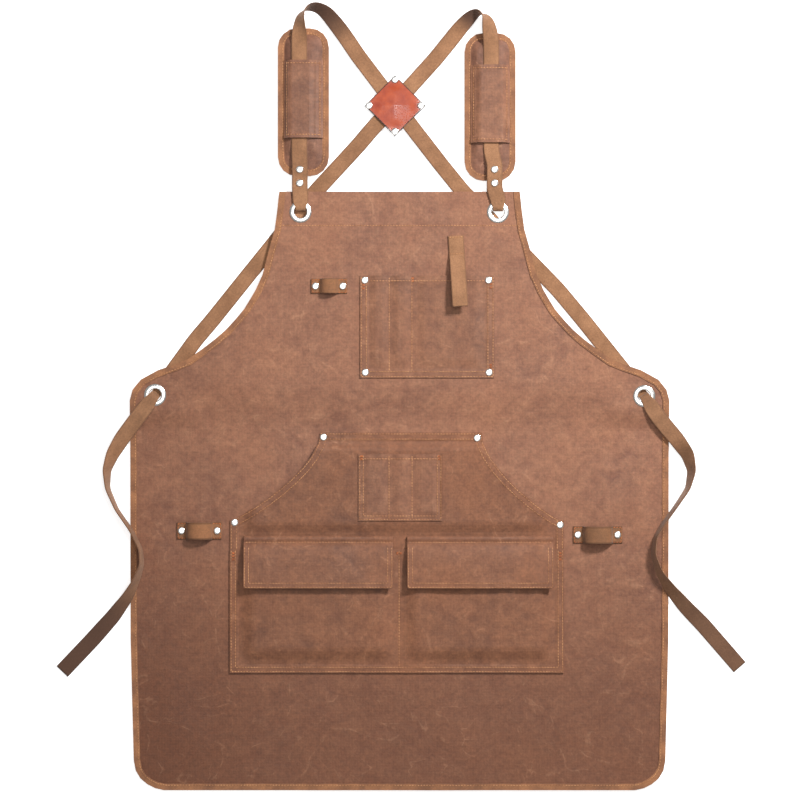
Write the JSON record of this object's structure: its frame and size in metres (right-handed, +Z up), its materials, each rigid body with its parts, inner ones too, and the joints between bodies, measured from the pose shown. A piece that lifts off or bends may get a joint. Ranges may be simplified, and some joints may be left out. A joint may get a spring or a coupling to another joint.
{
  "type": "butcher apron",
  "caption": "Waxed canvas bib apron with padded cross-back webbing straps, a leather strap keeper, riveted pockets with flaps and tool loops, laid flat with its front up.",
  "frame": {"origin": "on the floor under the middle of the apron's box, leaving out the two free tie ends", "axes": "+Z up out of the apron's front, +Y from the hem towards the bib and straps, +X to the right of a viewer facing the front"},
  "size_m": [0.8784, 1.0012, 0.027],
  "materials": {
    "canvas": "waxed, matt with soft creases",
    "webbing": "ribbed cotton webbing",
    "binding": "folded tape",
    "leather": "oiled, semi-gloss",
    "nickel": "bright nickel plate",
    "foam": "closed-cell foam"
  },
  "bodies": {
    "apron": {"bib_facing": "canvas", "body_panel": "canvas", "chest_pocket": "canvas", "chest_tab_anchor": "webbing", "edge_binding": "binding", "flap_seam_left": "canvas", "flap_seam_right": "canvas", "grommet_top_left": "nickel", "grommet_top_right": "nickel", "grommet_waist_left": "nickel", "grommet_waist_right": "nickel", "kangaroo_pocket": "canvas", "loop_hammer": "webbing", "loop_pliers": "webbing", "loop_screwdriver": "webbing", "lower_pocket": "canvas", "pencil_pocket": "canvas", "rivet_chest_low_left": "nickel", "rivet_chest_low_right": "nickel", "rivet_chest_top_left": "nickel", "rivet_chest_top_right": "nickel", "rivet_hammer_left": "nickel", "rivet_hammer_right": "nickel", "rivet_panel_low_left": "nickel", "rivet_panel_low_right": "nickel", "rivet_panel_top_left": "nickel", "rivet_panel_top_right": "nickel", "rivet_pliers_left": "nickel", "rivet_pliers_right": "nickel", "rivet_screwdriver_left": "nickel", "rivet_screwdriver_right": "nickel", "rivet_strap_left_high": "nickel", "rivet_strap_left_low": "nickel", "rivet_strap_right_high": "nickel", "rivet_strap_right_low": "nickel", "strap_left": "webbing", "strap_right": "webbing", "tie_left": "webbing", "tie_right": "webbing"},
    "flap_left": {"flap_left": "canvas"},
    "flap_right": {"flap_right": "canvas"},
    "chest_tab": {"chest_tab": "webbing"},
    "pad_left": {"pad_left_base": "canvas", "pad_left_binding": "binding", "pad_left_cover": "canvas", "pad_left_foam": "foam", "pad_left_sleeve": "canvas"},
    "pad_right": {"pad_right_base": "canvas", "pad_right_binding": "binding", "pad_right_cover": "canvas", "pad_right_foam": "foam", "pad_right_sleeve": "canvas"},
    "keeper": {"keeper_front": "leather", "keeper_back": "leather", "rivet_keeper_bottom": "nickel", "rivet_keeper_left": "nickel", "rivet_keeper_right": "nickel", "rivet_keeper_top": "nickel"}
  },
  "joints": [
    {"name": "flap_left_hinge", "type": "hinge", "parent": "apron", "child": "flap_left", "pos_m": [-0.1033, -0.1874, 0.0095], "axis": [-1, 0, 0], "range_deg": [0, 150]},
    {"name": "flap_right_hinge", "type": "hinge", "parent": "apron", "child": "flap_right", "pos_m": [0.10265, -0.1874, 0.0095], "axis": [-1, 0, 0], "range_deg": [0, 150]},
    {"name": "chest_tab_hinge", "type": "hinge", "parent": "apron", "child": "chest_tab", "pos_m": [0.073, 0.179, 0.0107], "axis": [-0.9981, -0.061, 0], "range_deg": [-7, 155]},
    {"name": "pad_left_slide", "type": "slide", "parent": "apron", "child": "pad_left", "axis": [0, 1, 0], "range_m": [0, 0.008]},
    {"name": "pad_right_slide", "type": "slide", "parent": "apron", "child": "pad_right", "axis": [0, 1, 0], "range_m": [-0.008, 0.008]},
    {"name": "keeper_slide", "type": "slide", "parent": "apron", "child": "keeper", "axis": [0, 1, 0], "range_m": [-0.01, 0.01]}
  ]
}
